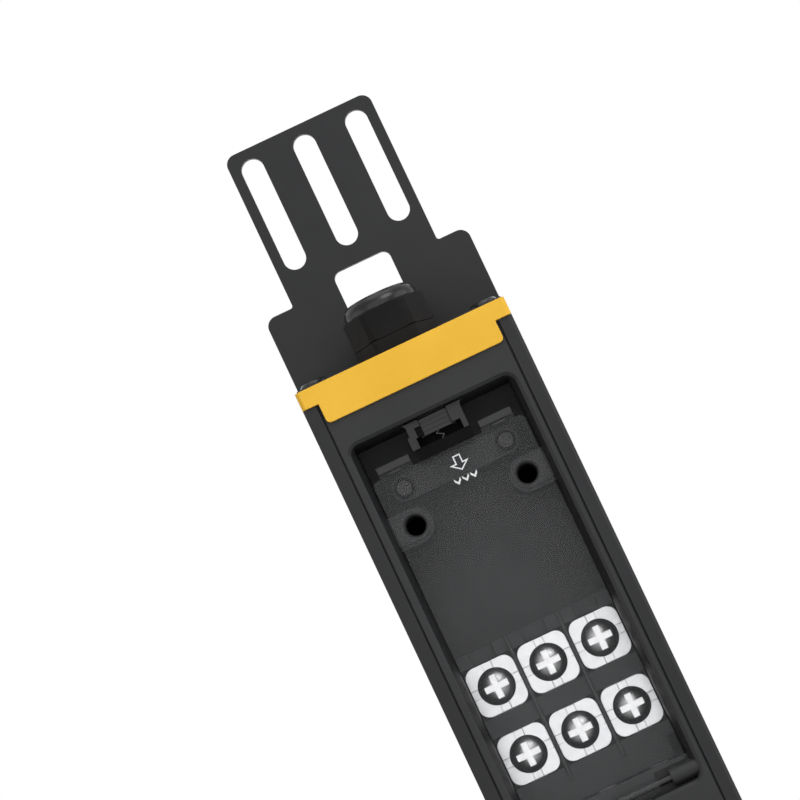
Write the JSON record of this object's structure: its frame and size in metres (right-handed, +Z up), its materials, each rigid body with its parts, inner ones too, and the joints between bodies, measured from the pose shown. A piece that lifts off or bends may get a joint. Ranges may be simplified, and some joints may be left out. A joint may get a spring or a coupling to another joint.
{
  "type": "rack power distribution unit",
  "caption": "Vertical rack power distribution unit: black open profile, yellow end caps, slotted brackets, cable gland, clear hinged door over screw terminals, outlets below.",
  "frame": {"origin": "centre of the middle pair of bracket slots, on the flat back plane that meets the rack, mid length", "axes": "+Z up along the length towards the cable gland, the front faces -Y, +X is right seen from the front"},
  "size_m": [0.062, 0.0462, 0.5842],
  "materials": {
    "profile_paint": "black powder-coated aluminium, satin",
    "bracket_paint": "black powder-coated steel sheet, satin",
    "cap_yellow": "yellow moulded plastic, fine satin",
    "black_plastic": "black moulded plastic, fine matt",
    "gland_nylon": "black nylon, soft gloss",
    "seal_rubber": "black rubber",
    "door_clear": "clear smoked polycarbonate, gloss",
    "latch_black": "black moulded plastic",
    "block_grey": "dark grey moulded thermoset, matt",
    "screw_zinc": "bright zinc-plated steel",
    "screw_black": "black-passivated steel, satin",
    "terminal_nickel": "nickel-plated steel, satin",
    "spring_steel": "spring steel strip",
    "brass_bar": "bare rolled brass",
    "outlet_black": "black moulded plastic, satin",
    "carrier_plastic": "grey glass-filled plastic"
  },
  "bodies": {
    "housing": {"body_profile": "profile_paint", "end_cap_top": "cap_yellow", "end_cap_bottom": "cap_yellow", "bracket_top": "bracket_paint", "bracket_bottom": "bracket_paint", "end_screws_top": "screw_black", "end_screws_bottom": "screw_black", "gland_body": "gland_nylon", "gland_seal": "seal_rubber", "gland_locknut": "gland_nylon", "wiring_tray": "black_plastic", "tray_screws": "screw_black", "hinge_pin": "screw_zinc", "cable_clamp": "block_grey", "clamp_screws": "screw_black", "terminal_block": "block_grey", "terminal_washers": "terminal_nickel", "terminal_screws": "terminal_nickel", "earth_post": "brass_bar", "earth_screw": "screw_zinc", "busbar_carrier": "carrier_plastic", "carrier_screws": "screw_zinc", "outlet_panel": "black_plastic", "busbar_neutral": "brass_bar", "busbar_earth": "brass_bar", "busbar_live": "brass_bar", "contacts_neutral": "brass_bar", "contacts_earth": "brass_bar", "contacts_live": "brass_bar", "outlet_1": "outlet_black", "outlet_2": "outlet_black", "outlet_3": "outlet_black", "outlet_4": "outlet_black", "outlet_5": "outlet_black", "outlet_6": "outlet_black", "outlet_7": "outlet_black", "outlet_8": "outlet_black"},
    "door": {"wiring_door": "door_clear", "latch_spring": "spring_steel"},
    "latch": {"door_latch": "latch_black"},
    "gland_nut_body": {"gland_nut": "gland_nylon"}
  },
  "joints": [
    {"name": "door_hinge", "type": "hinge", "parent": "housing", "child": "door", "pos_m": [0, -0.0414, 0.0843], "axis": [1, 0, 0], "range_deg": [0, 115]},
    {"name": "latch_slide", "type": "slide", "parent": "door", "child": "latch", "axis": [0, 0, -1], "range_m": [0, 0.0022], "stiffness_N_per_m": 200, "springref_m": -0.003, "deforming": ["latch_spring"]},
    {"name": "gland_nut_turn", "type": "hinge", "parent": "housing", "child": "gland_nut_body", "pos_m": [0, -0.0225, 0.22], "axis": [0, 0, 1], "continuous": true}
  ]
}
